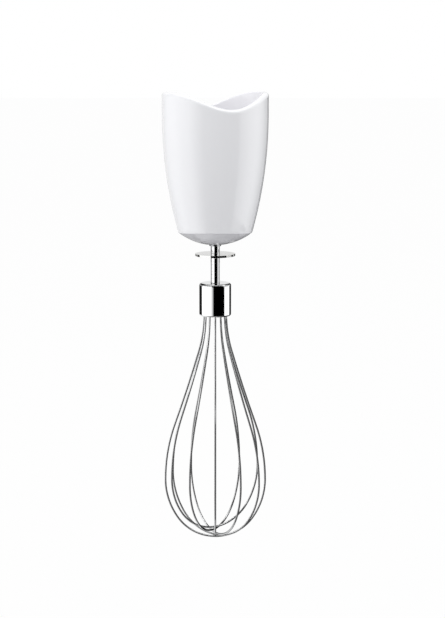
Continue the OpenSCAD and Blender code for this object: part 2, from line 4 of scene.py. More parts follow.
import bmesh
import bpy
from bpy.props import FloatProperty, FloatVectorProperty, IntProperty, PointerProperty
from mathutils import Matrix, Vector


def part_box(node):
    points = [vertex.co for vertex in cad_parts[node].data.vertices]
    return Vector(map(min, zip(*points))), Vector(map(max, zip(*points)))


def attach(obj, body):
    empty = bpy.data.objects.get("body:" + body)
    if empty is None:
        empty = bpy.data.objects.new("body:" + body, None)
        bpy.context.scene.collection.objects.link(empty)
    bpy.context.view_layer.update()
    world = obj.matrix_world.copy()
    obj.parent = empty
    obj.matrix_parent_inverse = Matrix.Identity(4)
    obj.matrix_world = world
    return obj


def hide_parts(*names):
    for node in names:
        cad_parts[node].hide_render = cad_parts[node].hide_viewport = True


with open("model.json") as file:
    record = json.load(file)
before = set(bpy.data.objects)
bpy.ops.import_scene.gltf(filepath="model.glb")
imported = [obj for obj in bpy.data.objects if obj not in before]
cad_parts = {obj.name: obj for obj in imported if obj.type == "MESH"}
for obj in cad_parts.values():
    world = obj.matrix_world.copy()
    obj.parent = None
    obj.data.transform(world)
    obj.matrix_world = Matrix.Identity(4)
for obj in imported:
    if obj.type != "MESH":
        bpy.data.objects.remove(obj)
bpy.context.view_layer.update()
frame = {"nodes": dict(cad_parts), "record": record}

bl_info = {
    "name": "Whisk Attachment for an Immersion Blender",
    "version": (1, 0, 0),
    "blender": (4, 5, 0),
    "location": "3D View > Sidebar > Whisk",
    "description": "Builds the cup, gearbox, shaft and balloon whisk of a blender attachment",
    "category": "Object",
}

# ---- sizes that the fixed frame gives, in metres ----

MOUNTS = {m["name"]: m for m in frame["record"]["mounts"]}
BODY_OF = {node: body
           for body, nodes in frame["record"]["behaviour"]["bodies"].items() for node in nodes}
CUP_LOW, CUP_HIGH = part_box("outer_shell")
CAP_LOW, CAP_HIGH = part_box("bottom_cap")
COVER_LOW, COVER_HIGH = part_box("gear_cover")
SHAFT_LOW, SHAFT_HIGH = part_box("whisk_shaft")
DISC_LOW, DISC_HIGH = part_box("splash_disc")
FERRULE_LOW, FERRULE_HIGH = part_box("ferrule")
LOOP_LOW, LOOP_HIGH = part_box("wire_loop_1")
SCREWS_LOW, SCREWS_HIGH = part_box("cover_screws")
SOCKET_R = MOUNTS["handle_socket"]["dims"]["r_mm"] / 1000
SEAT_WIDTH = 2 * (SOCKET_R - MOUNTS["handle_seat"]["pos_m"][0])

# ---- sizes and counts that the pieces share ----

WIRE_LOOPS = 6
SCREWS = 3               # cover screws
SCREW_HEAD = 0.0019      # radius of their heads
FIT = 0.00002            # play of a push fit
EDGE = 0.0002            # chamfer that breaks a moulded edge
SOFT_EDGE = 0.0003       # chamfer where two parts are pushed together
LATCH_COLUMNS = 10       # columns of the cup's mesh across a latch pocket
WALL_COLUMNS = 86        # and from one pocket to the other
CREASE = 34              # degrees, past which an edge stays sharp
WHITE = (1, 1, 1, 1)


def length(label, about, value):
    return FloatProperty(name=label, description=about, default=value, min=0, unit="LENGTH",
                         precision=5)


def level(label, about, value):
    return FloatProperty(name=label, description=about, default=value, unit="LENGTH", precision=5)


def angle(label, about, degrees):
    return FloatProperty(name=label, description=about, default=math.radians(degrees),
                         unit="ROTATION", subtype="ANGLE")


def number(label, about, value, unit="NONE"):
    return FloatProperty(name=label, description=about, default=value, unit=unit)


def colour(label, about, value):
    return FloatVectorProperty(name=label, description=about, default=value, size=3, min=0, max=1,
                               subtype="COLOR")


class WhiskCupSizes(bpy.types.PropertyGroup):
    mouth_radius: length("Mouth radius", "Outer radius of the cup at its mouth", CUP_HIGH.y)
    foot_radius: length("Foot radius", "Outer radius where the bottom cap begins", CAP_HIGH.y)
    foot: level("Foot", "Level of the cup's foot", CUP_LOW.z)
    flare_top: level("Flare top", "Level where the side begins to curve in", 0.012)
    wall: length("Wall", "Thickness of the lower wall", 0.0024)
    rim_low: level("Rim low", "Level of the rim's two low points", 0.0161)
    rim_peak: level("Rim peak", "Highest level that the rim may reach", CUP_HIGH.z - 0.00005)
    rim_climb: length("Rim climb", "Climb of the rim from low to high, before levelling", 0.0172)
    rim_level: length("Rim levelling", "How much of that climb the high points lose", 0.00784)
    rim_turn: angle("Rim turn", "Turn of the rim's high points about the axis", 19.14)
    lip_width: length("Lip width", "Width of the lip's outer rounding", 0.0024)
    lip_drop: length("Lip drop", "Depth of the lip's outer rounding", 0.0021)
    lip_inside: length("Lip inside", "Depth of the lip's inner rounding", 0.0007)
    socket_radius: length("Socket radius", "Radius that the handle plugs into", SOCKET_R)
    seat_width: length("Seat width", "Width of the ledge under the handle", SEAT_WIDTH)
    latch_low: level("Latch low", "Lower edge of a latch pocket", 0.007)
    latch_high: level("Latch high", "Upper edge of a latch pocket", 0.011)
    latch_width: length("Latch width", "Width of a latch pocket", 0.009)
    latch_depth: length("Latch depth", "Depth of a latch pocket", 0.0016)
    shelf: level("Shelf", "Level of the shelf that carries the gear case", COVER_LOW.z - 0.0035)
    shelf_thickness: length("Shelf thickness", "Thickness of that shelf", 0.002)
    shelf_bore: length("Shelf bore", "Radius of the hole in the shelf", 0.019375)
    boss_radius: length("Boss radius", "Radius of a screw boss", 0.0023)
    boss_depth: length("Boss depth", "Depth of a boss below the shelf", 0.009)
    screw_circle: length("Screw circle", "Radius of the circle of cover screws",
                         -SCREWS_LOW.x - SCREW_HEAD)
    land_height: length("Land height", "Height of the land that holds the cap", 0.0046)
    seam_rise: length("Seam rise", "Rise of the cap's seam at front and back", 0.0014)


class WhiskCapSizes(bpy.types.PropertyGroup):
    dome_low: level("Dome low", "Lowest level of the dome", CAP_LOW.z)
    spigot_top: level("Spigot top", "Top level of the spigot", CAP_HIGH.z)
    spigot_wall: length("Spigot wall", "Wall of the spigot", 0.0022)
    wall: length("Wall", "Wall of the dome", 0.002)
    neck_bore: length("Neck bore", "Radius that takes the gear case's neck", 0.00962)
    seal_bore: length("Seal bore", "Radius of the lip seal's pocket", 0.00757)
    hub_bore: length("Hub bore", "Radius of the hole for the output hub", 0.0037)
    groove: length("Groove", "Section radius of the seal groove", 0.0006)


class WhiskSizes(bpy.types.PropertyGroup):
    shaft_radius: length("Shaft radius", "Radius of the whisk shaft", 0.0026)
    hex_length: length("Hexagon length", "Length of the hexagon end", 0.008)
    hex_flats: length("Hexagon flats", "Width of the hexagon across its flats", 0.0044)
    groove_drop: length("Groove drop", "From the hexagon down to the detent groove", 0.007)
    groove_width: length("Groove width", "Width of the detent groove", 0.0012)
    groove_depth: length("Groove depth", "Depth of the detent groove", 0.00035)
    disc_thickness: length("Disc thickness", "Thickness of the splash disc", 0.0012)
    disc_collar: length("Disc collar", "Width of the collar under the disc", 0.001)
    ferrule_wall: length("Ferrule wall", "Wall of the ferrule", 0.0008)
    ferrule_round: length("Ferrule rounding", "Rounding of its top edge", 0.0011)
    ferrule_chamfer: length("Ferrule chamfer", "Chamfer of its bottom edge", 0.0005)
    wire: length("Wire", "Diameter of the whisk wire", LOOP_HIGH.y - LOOP_LOW.y)
    leg_radius: length("Leg radius", "Radius of the ring of wires in the ferrule", 0.0063)
    leg_length: length("Leg length", "Length of a wire's leg in the ferrule", 0.012)
    lean_radius: length("Lean radius", "Radius of the arc that leans a wire out", 0.074)
    lean_start: angle("Lean start", "Turn of that first arc", 16.2)
    lean: angle("Lean", "Greatest lean of a wire", 19.5)
    belly_radius: length("Belly radius", "Radius of the arc at the widest point", 0.1)
    side_turn: angle("Side turn", "Turn of the arc below the widest point", 34.9)
    lean_gain: angle("Lean gain", "How much more each loop leans than the one outside it", 0.3)
    width_loss: length("Width loss", "How much nearer the axis its widest point lies", 0.00006)
    wire_sides: IntProperty(name="Wire sides", description="Faces round a wire", default=16, min=8,
                            max=32)


class WhiskFinishes(bpy.types.PropertyGroup):
    shell: colour("Shell", "Polished plastic of the cup", (0.897, 0.901, 0.922))
    # Painted light: the bore is lighter than the shell so that the inside of the socket looks
    # brighter.
    bore: colour("Bore", "Lighter colour in the cup's socket, which paints light into it", (0.945, 0.94, 0.97))
    # Painted shade: darker than the shell's plastic, to stand in for the shade under the dome.
    cap: colour("Cap", "Polished plastic of the bottom cap, darkened by painted shade", (0.73, 0.73, 0.755))
    case: colour("Case", "Plastic of the gear case and its cover", (0.78, 0.78, 0.80))
    gear: colour("Gears", "Natural acetal of the gears", (0.86, 0.83, 0.74))
    dog: colour("Drive dog", "Glass-filled nylon of the drive dog", (0.035, 0.036, 0.042))
    core: colour("Core", "Glass-filled nylon of the ferrule's core", (0.30, 0.31, 0.33))
    rubber: colour("Rubber", "Seals and gasket", (0.022, 0.022, 0.024))
    bronze: colour("Bronze", "Sintered bushes", (0.62, 0.42, 0.22))
    steel: colour("Steel", "Turned steel inside the gearbox", (0.56, 0.57, 0.59))
    spring: colour("Spring steel", "Rolled steel of the clips", (0.448, 0.456, 0.472))
    chrome: colour("Bright steel", "Polished shaft and ferrule", (0.90, 0.905, 0.91))
    wire: colour("Wire", "Bright-drawn whisk wire", (0.72, 0.725, 0.73))
    disc: colour("Disc", "Satin steel of the splash disc", (0.86, 0.86, 0.84))


class WhiskStageSizes(bpy.types.PropertyGroup):
    camera_distance: length("Camera distance", "From the aim point to the camera", 0.84904)
    camera_height: angle("Camera height", "How far the camera looks down", 9.5)
    aim: level("Aim", "Level on the axis that the camera aims at", -0.098)
    lens: number("Lens", "Focal length on a 24 mm sensor", 57.48, "CAMERA")
    side_shift: number("Side shift", "Shift of the view, as a share of its long side", 0.0118)
    drop: length("Drop", "From the whisk down to the floor, so that it can pull out", 0.033)
    key: number("Key", "Radiance of the left soft box", 0.85)
    fill: number("Fill", "Radiance of the right soft box", 0.6)
    top: number("Top", "Radiance of the overhead soft box", 1.35)
    room: number("Room", "Plain light from all round", 0.805)
    shine: number("Shine", "Room as polished surfaces show it", 0.8)
    floor: colour("Floor", "Pale floor, as the object's own light sees it", (0.64, 0.64, 0.65))


# ---- plain mesh helpers ----

def between(a, b, steps):
    """Values from a to b in even steps, both included."""
    return [a + (b - a) * i / steps for i in range(steps + 1)]


def link(name, data):
    """A new object in the scene."""
    piece = bpy.data.objects.new(name, data)
    bpy.context.scene.collection.objects.link(piece)
    return piece


def smooth(mesh, crease):
    """Shades a mesh smooth but for its creases."""
    mesh.polygons.foreach_set("use_smooth", [True] * len(mesh.polygons))
    mesh.set_sharp_from_angle(angle=math.radians(crease))
    mesh.update()


def meshed(name, bm):
    """A mesh from a bmesh, which is freed."""
    mesh = bpy.data.meshes.new(name)
    bm.to_mesh(mesh)
    bm.free()
    return mesh


def solid(name, points, faces, crease=CREASE):
    """A smooth-shaded mesh with its doubles merged and its faces turned outwards."""
    bm = bmesh.new()
    corners = [bm.verts.new(p) for p in points]
    for face in faces:
        bm.faces.new([corners[i] for i in face])
    bmesh.ops.remove_doubles(bm, verts=bm.verts, dist=1e-7)
    bmesh.ops.dissolve_degenerate(bm, dist=1e-8, edges=bm.edges)
    bmesh.ops.recalc_face_normals(bm, faces=bm.faces)
    mesh = meshed(name, bm)
    smooth(mesh, crease)
    return link(name, mesh)


def lofted(rings):
    """Points and faces that join closed (angle, outline) sections round the axis."""
    rows = len(rings[0][1])
    points = [(r * math.cos(a), r * math.sin(a), z) for a, outline in rings for r, z in outline]
    faces = []
    for i in range(len(rings)):
        n = (i + 1) % len(rings)
        for k in range(rows):
            m = (k + 1) % rows
            faces.append((i * rows + k, n * rows + k, n * rows + m, i * rows + m))
    return points, faces


def turned(name, outline, columns=96, crease=CREASE):
    """Turns a closed outline of (radius, height) points, or one outline for each angle."""
    at = outline if callable(outline) else (lambda a: outline)
    angles = [2 * math.pi * i / columns for i in range(columns)]
    return solid(name, *lofted([(a, at(a)) for a in angles]), crease)


def rounded(corners, steps=4):
    """A closed outline whose (radius, height, rounding) corners become arcs."""
    straight, share = 1.5, 0.49
    outline = []
    for i, (x, y, size) in enumerate(corners):
        here = Vector((x, y))
        before = Vector(corners[i - 1][:2]) - here
        after = Vector(corners[(i + 1) % len(corners)][:2]) - here
        half = before.angle(after) / 2
        if size <= 0 or half > straight:
            outline.append((x, y))
            continue
        reach = min(size / math.tan(half), share * before.length, share * after.length)
        radius = reach * math.tan(half)
        back, on = before.normalized(), after.normalized()
        hub = here + (back + on).normalized() * radius / math.sin(half)
        first, last = back * reach + here - hub, on * reach + here - hub
        start = math.atan2(first.y, first.x)
        sweep = math.remainder(math.atan2(last.y, last.x) - start, 2 * math.pi)
        # A point just off each end of the arc keeps the long flat beside it flat.
        if before.length > 5 * reach:
            outline.append(tuple(here + back * 1.3 * reach))
        for k in range(steps + 1):
            a = start + sweep * k / steps
            outline.append((hub.x + radius * math.cos(a), hub.y + radius * math.sin(a)))
        if after.length > 5 * reach:
            outline.append(tuple(here + on * 1.3 * reach))
    return outline


def baked(piece, crease=CREASE):
    """Makes a piece's modifiers part of its mesh."""
    bpy.context.view_layer.update()
    seen = piece.evaluated_get(bpy.context.evaluated_depsgraph_get())
    mesh = bpy.data.meshes.new_from_object(seen)
    piece.modifiers.clear()
    piece.data = mesh
    smooth(mesh, crease)


def combine(piece, tool, how):
    """Adds a tool body to a piece, or takes it away."""
    step = piece.modifiers.new(how, "BOOLEAN")
    step.operation = how
    step.solver = "EXACT"
    step.object = tool
    baked(piece)
    bpy.data.objects.remove(tool)


def hand_over(piece, node, slot):
    """Gives a piece its finish and its body, and hides the CAD node that it stands for."""
    piece.data.materials.clear()
    piece.data.materials.append(FINISHES[slot])
    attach(piece, BODY_OF[node])
    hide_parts(node)


def finished_copy(node, name, slot, edge):
    """A merged copy of a CAD node with its hard edges broken."""
    bm = bmesh.new()
    bm.from_mesh(frame["nodes"][node].data)
    bmesh.ops.remove_doubles(bm, verts=bm.verts, dist=2e-6)
    bmesh.ops.dissolve_limit(bm, angle_limit=math.radians(0.6), verts=bm.verts, edges=bm.edges)
    mesh = meshed(name, bm)
    for layer in list(mesh.uv_layers):
        mesh.uv_layers.remove(layer)
    piece = link(name, mesh)
    bevel = piece.modifiers.new("broken edges", "BEVEL")
    bevel.width = edge
    bevel.segments = 2
    bevel.limit_method = "ANGLE"
    bevel.angle_limit = math.radians(38)
    bevel.use_clamp_overlap = True
    bevel.harden_normals = True
    baked(piece)
    hand_over(piece, node, slot)


# ---- node trees ----

def node_group(kind, name, inputs, outputs):
    """A node group. Its inputs are given by their values, or by their kind where they have none."""
    tree = bpy.data.node_groups.new(name, kind)
    for label, value in inputs.items():
        plain = value if isinstance(value, str) else {float: "Float", int: "Int"}[type(value)]
        socket = tree.interface.new_socket(name=label, in_out="INPUT",
                                           socket_type="NodeSocket" + plain)
        if plain != value:
            socket.default_value = value
    for label, plain in outputs.items():
        tree.interface.new_socket(name=label, in_out="OUTPUT", socket_type="NodeSocket" + plain)
    return tree, tree.nodes.new("NodeGroupInput").outputs


def fresh_tree(owner):
    """The emptied node tree of a material or a world."""
    owner.use_nodes = True
    owner.node_tree.nodes.clear()
    return owner.node_tree


def add(tree, kind, values=(), **settings):
    """A node with its settings and inputs. A socket, or a node's first output, is linked."""
    node = tree.nodes.new(kind)
    for key, value in settings.items():
        setattr(node, key, value)
    for key, value in dict(values).items():
        if isinstance(value, bpy.types.Node):
            value = value.outputs[0]
        if isinstance(value, bpy.types.NodeSocket):
            tree.links.new(value, node.inputs[key])
        else:
            node.inputs[key].default_value = value
    return node


def maths(tree, operation, a, b=0.0):
    """The result of one sum on values or sockets."""
    return add(tree, "ShaderNodeMath", {0: a, 1: b}, operation=operation).outputs[0]


def mixed(tree, kind, share, a, b):
    """From a to b by a share, for two values (FLOAT) or two colours (RGBA)."""
    one, other, result = {"FLOAT": (2, 3, 0), "RGBA": (6, 7, 2)}[kind]
    return add(tree, "ShaderNodeMix", {0: share, one: a, other: b}, data_type=kind).outputs[result]


def noise(tree, vector, scale, detail, **more):
    """A noise from 0 to 1."""
    values = {"Vector": vector, "Scale": scale, "Detail": detail, **more}
    return add(tree, "ShaderNodeTexNoise", values).outputs["Fac"]


def spread(tree, value, low, high):
    """A 0 to 1 value, as a noise gives it, carried to a range."""
    return add(tree, "ShaderNodeMapRange", {
        "Value": value, "From Min": 0.25, "From Max": 0.75, "To Min": low, "To Max": high},
        clamp=True).outputs["Result"]


# ---- effects that the finishes share ----

def moulded_skin():
    """Flow marks and fine grain of a moulded surface."""
    tree, given = node_group("ShaderNodeTree", "moulded skin", {
        "Vector": "Vector", "Flow": 60.0, "Grain": 1500.0, "Share": 0.5},
        {"Height": "Float", "Marks": "Float"})
    flow = noise(tree, given["Vector"], given["Flow"], 2.0)
    grain = noise(tree, given["Vector"], given["Grain"], 3.0, Roughness=0.6)
    height = mixed(tree, "FLOAT", given["Share"], flow, grain)
    add(tree, "NodeGroupOutput", {"Height": height, "Marks": flow})
    return tree


def turning_marks():
    """Fine rings that a lathe or a polishing wheel leaves round the axis."""
    tree, given = node_group("ShaderNodeTree", "turning marks", {
        "Vector": "Vector", "Pitch": 4000.0, "Stretch": 6.0},
        {"Height": "Float", "Streaks": "Float"})
    x, y, z = add(tree, "ShaderNodeSeparateXYZ", {"Vector": given["Vector"]}).outputs
    squares = [maths(tree, "POWER", axis, 2.0) for axis in (x, y)]
    across = maths(tree, "SQRT", maths(tree, "ADD", *squares))
    around = maths(tree, "ABSOLUTE", maths(tree, "ARCTAN2", y, x))
    lines = add(tree, "ShaderNodeCombineXYZ", {
        "X": maths(tree, "MULTIPLY", across, given["Pitch"]),
        "Y": maths(tree, "MULTIPLY", z, given["Pitch"]),
        "Z": maths(tree, "MULTIPLY", around, given["Stretch"])})
    add(tree, "NodeGroupOutput", {"Height": noise(tree, lines, 1.0, 3.0, Roughness=0.7),
                                  "Streaks": noise(tree, lines, 0.12, 1.0)})
    return tree


def handling():
    """Sparse fine scratches and finger marks, from 0 to 1."""
    tree, given = node_group("ShaderNodeTree", "handling", {
        "Vector": "Vector", "Size": 40.0, "Cover": 0.35}, {"Marks": "Float"})
    smear = noise(tree, given["Vector"], given["Size"], 4.0, Distortion=0.8)
    low = maths(tree, "SUBTRACT", 0.8, given["Cover"])
    marks = add(tree, "ShaderNodeMapRange", {"Value": smear, "From Min": low, "From Max": 0.85},
                clamp=True, interpolation_type="SMOOTHSTEP")
    add(tree, "NodeGroupOutput", {"Marks": marks})
    return tree


def effect(tree, name, place, **values):
    """The outputs of one of those groups at a place, with its own values."""
    return add(tree, "ShaderNodeGroup", {"Vector": place, **values},
               node_tree=EFFECTS[name]).outputs


def bore_light_mask(tree, place):
    """Where light is painted: 1 inside the socket that takes the handle, down to the well's floor;
    0 elsewhere.
    """
    margin = 0.0003
    flat = add(tree, "ShaderNodeVectorMath", {0: place, 1: (1, 1, 0)}, operation="MULTIPLY")
    reach = add(tree, "ShaderNodeVectorMath", {0: flat}, operation="LENGTH").outputs["Value"]
    height = add(tree, "ShaderNodeSeparateXYZ", {"Vector": place}).outputs["Z"]
    return maths(tree, "MULTIPLY", maths(tree, "LESS_THAN", reach, SOCKET_R + margin),
                 maths(tree, "GREATER_THAN", height, COVER_HIGH.z - margin))


# ---- finishes: each works out the inputs of a Principled surface ----

def tinted(tree, value, shade, change):
    """A base colour that varies a little, as moulded and worked parts do."""
    other = [min(1.0, c * change) for c in shade]
    return mixed(tree, "RGBA", value, (*shade, 1), (*other, 1))


def rough(tree, marks, touched, low, high, smears):
    """Roughness from low to high by the marks of making, and more where it was touched."""
    return maths(tree, "ADD", spread(tree, marks, low, high),
                 maths(tree, "MULTIPLY", touched, smears))


def bumped(tree, height, depth):
    """The normals of a surface that is raised by a height."""
    return add(tree, "ShaderNodeBump", {"Height": height, "Distance": depth}).outputs["Normal"]


def plastic(tree, place, shade, roughness, flow, grain, share, depth, change=0.97, coat=0,
            bore=None):
    """Moulded plastic, which may be coated and have light painted into its bore by a lighter
    colour.
    """
    skin = effect(tree, "skin", place, Flow=flow, Grain=grain, Share=share)
    touched = effect(tree, "handling", place, Size=55.0, Cover=0.3)["Marks"]
    base = tinted(tree, skin["Marks"], shade, change)
    # Painted light: a lighter colour inside the socket brightens it.
    if bore:
        base = mixed(tree, "RGBA", bore_light_mask(tree, place), base, (*bore, 1))
    return {"Base Color": base, "IOR": 1.5, "Coat Weight": coat, "Coat Roughness": 0.05,
            "Roughness": rough(tree, skin["Marks"], touched, roughness * 0.85, roughness * 1.15,
                               roughness * 0.35),
            "Normal": bumped(tree, skin["Height"], depth)}


def metal(tree, place, shade, roughness, pitch, depth, change=0.94, smears=0.05):
    """Steel that was turned, rolled or polished round the axis."""
    marks = effect(tree, "turning", place, Pitch=pitch, Stretch=5.0)
    touched = effect(tree, "handling", place, Size=120.0, Cover=0.3)["Marks"]
    return {"Base Color": tinted(tree, marks["Streaks"], shade, change), "Metallic": 1.0,
            "Roughness": rough(tree, marks["Height"], touched, roughness * 0.8, roughness * 1.2,
                               smears),
            "Normal": bumped(tree, marks["Height"], depth)}


def rubber(tree, place, shade):
    """Dull moulded rubber."""
    skin = effect(tree, "skin", place, Flow=220.0, Grain=5200.0, Share=0.8)
    return {"Base Color": tinted(tree, skin["Marks"], shade, 1.5), "Sheen Weight": 0.15,
            "Roughness": spread(tree, skin["Height"], 0.62, 0.85),
            "Normal": bumped(tree, skin["Height"], 0.00003)}


def sintered(tree, place, shade):
    """Oil-filled bronze: pressed powder with small dark pores."""
    pores = add(tree, "ShaderNodeTexVoronoi", {"Vector": place, "Scale": 3800.0})
    solid_part = add(tree, "ShaderNodeMapRange", {
        "Value": pores, "From Min": 0.12, "From Max": 0.34}, clamp=True).outputs["Result"]
    marks = effect(tree, "turning", place, Pitch=3000.0, Stretch=4.0)
    dark = [0.45 * c for c in shade]
    return {"Base Color": mixed(tree, "RGBA", solid_part, (*dark, 1), (*shade, 1)),
            "Metallic": 1.0, "Roughness": spread(tree, marks["Height"], 0.28, 0.45),
            "Normal": bumped(tree, solid_part, 0.00002)}


def finish(name, kind, *values):
    """A material of one of those kinds."""
    made = bpy.data.materials.new(name)
    tree = fresh_tree(made)
    place = tree.nodes.new("ShaderNodeTexCoord").outputs["Object"]
    surface = add(tree, "ShaderNodeBsdfPrincipled", kind(tree, place, *values))
    add(tree, "ShaderNodeOutputMaterial", {"Surface": surface})
    return made


# A finish has its kind, its name, its colour and the values that its kind takes. A plastic has
# roughness, flow marks and grain to the metre, share and depth of the grain, change of colour,
# clear coat and a lighter colour for the bore, which paints light into it. A metal has roughness,
# turning marks to the metre and their depth, change of colour and roughness of smears.
RECIPES = {
    # The shell's bore colour paints light into the socket.
    "shell_plastic": (plastic, "polished white ABS", "shell", 0.13, 38, 900, 0.15, 0.00002, 0.985,
                      0.25, "bore"),
    # The cap's darker colour is painted shade under the dome.
    "cap_plastic": (plastic, "polished white ABS, cap", "cap", 0.2, 44, 900, 0.15, 0.00002, 0.985,
                    0.2),
    "case_plastic": (plastic, "moulded white nylon", "case", 0.42, 120, 3200, 0.6, 0.00004),
    "gear_plastic": (plastic, "natural acetal", "gear", 0.36, 160, 2600, 0.4, 0.00003, 0.93),
    "dog_plastic": (plastic, "black glass-filled nylon", "dog", 0.46, 180, 3600, 0.7, 0.00005, 1.5),
    "core_plastic": (plastic, "grey glass-filled nylon", "core", 0.5, 180, 3600, 0.7, 0.00005,
                     1.12),
    "washer_plastic": (plastic, "acetal washer", "gear", 0.34, 160, 2600, 0.4, 0.00002),
    "seal_rubber": (rubber, "moulded nitrile", "rubber"),
    "bush_bronze": (sintered, "sintered bronze", "bronze"),
    "machined_steel": (metal, "turned steel", "steel", 0.24, 5200, 0.000006),
    "spring_steel": (metal, "rolled spring steel", "spring", 0.34, 2600, 0.000008),
    "plated_steel": (metal, "zinc-plated steel", "steel", 0.2, 3200, 0.000004),
    "chrome_steel": (metal, "polished stainless steel", "chrome", 0.045, 6000, 0.0000004, 0.985,
                     0.03),
    "disc_steel": (metal, "satin stainless steel", "disc", 0.1, 5200, 0.000001, 0.96),
    "wire_steel": (metal, "bright-drawn stainless wire", "wire", 0.07, 5200, 0.000001, 0.95),
}
EFFECTS = {}
FINISHES = {}


class WHISK_OT_finishes(bpy.types.Operator):
    """Mix the plastics, rubbers and metals that the pieces use"""
    bl_idname = "whisk.finishes"
    bl_label = "Finishes"

    def execute(self, context):
        shades = context.scene.whisk_finishes
        EFFECTS.update(skin=moulded_skin(), turning=turning_marks(), handling=handling())
        for slot, (kind, name, *values) in RECIPES.items():
            values = [getattr(shades, v) if isinstance(v, str) else v for v in values]
            FINISHES[slot] = finish(name, kind, *values)
        return {"FINISHED"}


# ---- the cup ----

def rim_top(cup, turn):
    """Height of the lip's crown: two low points, and levelled high points between them."""
    c = math.cos(turn - cup.rim_turn) ** 2
    return min(cup.rim_low + cup.rim_climb * c - cup.rim_level * c * c, cup.rim_peak)


def seam(cup, turn):
    """Height of the seam between cup and cap, which bows up at front and back."""
    return cup.foot + cup.seam_rise * math.sin(turn) ** 2


def side(cup, z, inset=0.0):
    """Radius of the cup's side at a height, or of its inner wall at an inset."""
    run, lean_in = cup.flare_top - cup.foot, cup.mouth_radius - cup.foot_radius
    bend = (run ** 2 + lean_in ** 2) / (2 * lean_in)
    down = max(0.0, cup.flare_top - z)
    return cup.mouth_radius - bend + math.sqrt((bend - inset) ** 2 - down ** 2)


def cup_outline(cup, turn):
    """The cup's section at one angle, and the rows that its latch pockets take."""
    low, top = seam(cup, turn), rim_top(cup, turn)
    land = side(cup, cup.foot, cup.wall)
    land_top = cup.foot + cup.land_height
    shelf_low = cup.shelf - cup.shelf_thickness
    bay = cup.socket_radius - cup.seat_width
    points = [(side(cup, low) - EDGE, low)]
    points += [(side(cup, z), z) for z in between(low + EDGE, cup.flare_top, 26)]
    points += [(cup.mouth_radius, z) for z in between(cup.flare_top, top - cup.lip_drop, 8)[1:]]
    crown = cup.mouth_radius - cup.lip_width
    points += [(crown + cup.lip_width * math.cos(a), top - cup.lip_drop * (1 - math.sin(a)))
               for a in between(0, math.pi / 2, 12)[1:]]
    inside = crown - cup.socket_radius
    points += [(crown - inside * math.sin(a), top - cup.lip_inside * (1 - math.cos(a)))
               for a in between(0, math.pi / 2, 6)[1:]]
    wall = between(top - cup.lip_inside, cup.latch_high, 4)[1:]
    pocket = between(cup.latch_high, cup.latch_low, 4)[1:]
    first = len(points) + len(wall) - 1
    wall += pocket + between(cup.latch_low, SOFT_EDGE, 3)[1:]
    points += [(cup.socket_radius, z) for z in wall]
    points += [(cup.socket_radius - SOFT_EDGE, 0), (bay + EDGE, 0)]
    points += [(bay, z) for z in between(-EDGE, cup.shelf, 4)]
    points += [(cup.shelf_bore + EDGE, cup.shelf), (cup.shelf_bore, cup.shelf - EDGE),
               (cup.shelf_bore, shelf_low + EDGE), (cup.shelf_bore + EDGE, shelf_low)]
    points += [(side(cup, z, cup.wall), z) for z in between(shelf_low, land_top, 14)]
    points += [(land, land_top), (land, low + EDGE), (land + EDGE, low)]
    return points, range(first, first + len(pocket))


def column_turns(cup):
    """Angles of the cup's columns, with one on each side edge of each latch pocket."""
    half = math.asin(cup.latch_width / 2 / cup.socket_radius)
    turns = []
    for start in (cup.rim_turn, cup.rim_turn + math.pi):
        turns += [start + a for a in between(-half, half, LATCH_COLUMNS)[:-1]]
        turns += [start + a for a in between(half, math.pi - half, WALL_COLUMNS)[:-1]]
    return turns


def cup_shell(cup):
    """The cup as one closed skin, with the latch pockets sunk in its socket wall."""
    turns = column_turns(cup)
    outlines = [cup_outline(cup, a) for a in turns]
    pocket_rows = outlines[0][1]
    points, wall = lofted([(a, outline) for a, (outline, _) in zip(turns, outlines)])
    faces, pockets = [], ([], [])
    for i, face in enumerate(wall):
        column, row = divmod(i, len(outlines[0][0]))
        pocket, column = divmod(column, LATCH_COLUMNS + WALL_COLUMNS)
        sinks = column < LATCH_COLUMNS and row in pocket_rows
        (pockets[pocket] if sinks else faces).append(face)
    for patch in pockets:
        faces += sunk(patch, points, cup.latch_depth)
    return solid("cup_shell", points, faces)


def sunk(patch, points, depth):
    """A patch of wall faces pushed outwards, with side walls round it."""
    moved, faces, edges = {}, [], {}
    for face in patch:
        for i in face:
            if i not in moved:
                x, y, z = points[i]
                r = math.hypot(x, y)
                moved[i] = len(points)
                points.append((x * (r + depth) / r, y * (r + depth) / r, z))
        faces.append(tuple(moved[i] for i in face))
        for a, b in zip(face, face[1:] + face[:1]):
            edges[frozenset((a, b))] = None if frozenset((a, b)) in edges else (a, b)
    faces += [(a, b, moved[b], moved[a]) for a, b in filter(None, edges.values())]
    return faces


def post(radius, low, high, x, y):
    """A plain upright cylinder."""
    points, faces, columns = [], [], 40
    for i in range(columns):
        a = 2 * math.pi * i / columns
        for z in (low, high):
            points.append((x + radius * math.cos(a), y + radius * math.sin(a), z))
        n = (i + 1) % columns
        faces.append((2 * i, 2 * n, 2 * n + 1, 2 * i + 1))
    faces += [tuple(2 * i for i in reversed(range(columns))),
              tuple(2 * i + 1 for i in range(columns))]
    return solid("post", points, faces)


def at_screws(cup, piece, radius, low, high, how):
    """Adds or takes away a post at each cover screw."""
    for k in range(SCREWS):
        a = math.pi / SCREWS * (2 * k + 1)
        x, y = cup.screw_circle * math.cos(a), cup.screw_circle * math.sin(a)
        combine(piece, post(radius, low, high, x, y), how)


